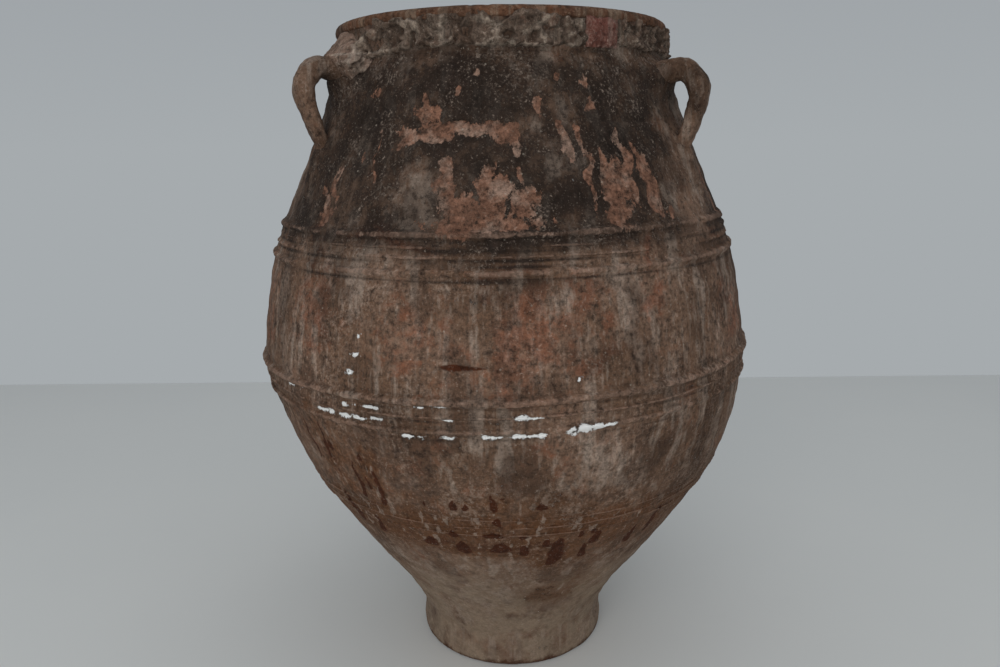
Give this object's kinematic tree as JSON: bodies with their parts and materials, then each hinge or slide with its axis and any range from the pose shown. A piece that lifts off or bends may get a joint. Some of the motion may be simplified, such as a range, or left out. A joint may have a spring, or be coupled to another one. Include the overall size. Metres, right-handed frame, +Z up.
{
  "type": "storage jar",
  "caption": "Large unglazed clay storage jar with a narrow flat foot, wide belly, collared mouth, raised cord bands and strap handles on the shoulder.",
  "frame": {"origin": "centre of the foot, on the ground", "axes": "+Z up through the middle of the mouth; -Y towards the side the jar is seen from; +X to that viewer's right"},
  "size_m": [0.7801, 0.7804, 1],
  "materials": {
    "pale_clay": "dry unglazed earthenware, dusty",
    "streaked_clay": "unglazed earthenware with water and rust streaks",
    "weathered_terracotta": "unglazed terracotta, weathered and pitted",
    "lichened_clay": "terracotta under a dark lichen crust",
    "ochre_clay": "bare orange terracotta, worn smooth",
    "lime_mortar": "rough lime mortar",
    "pink_mortar": "pinkish lime mortar",
    "red_clay": "fired red clay, dull"
  },
  "bodies": {
    "root": {"base_disc": "pale_clay", "foot_ring": "pale_clay", "stem_wall": "pale_clay", "lower_wall": "streaked_clay", "under_belly_wall": "streaked_clay", "belly_wall": "weathered_terracotta", "shoulder_wall": "lichened_clay", "neck_wall": "lichened_clay", "collar": "lichened_clay", "lip": "ochre_clay", "upper_band_cord_1": "weathered_terracotta", "upper_band_cord_2": "weathered_terracotta", "upper_band_cord_3": "weathered_terracotta", "upper_band_cord_4": "weathered_terracotta", "middle_band_cord_1": "ochre_clay", "middle_band_cord_2": "weathered_terracotta", "middle_band_cord_3": "weathered_terracotta", "lower_band_line_1": "streaked_clay", "lower_band_line_2": "streaked_clay", "lower_band_line_3": "streaked_clay", "handle_right": "weathered_terracotta", "handle_left": "weathered_terracotta", "handle_back": "weathered_terracotta", "collar_mortar": "lime_mortar", "collar_patch": "red_clay", "handle_mortar": "pink_mortar"}
  },
  "joints": []
}
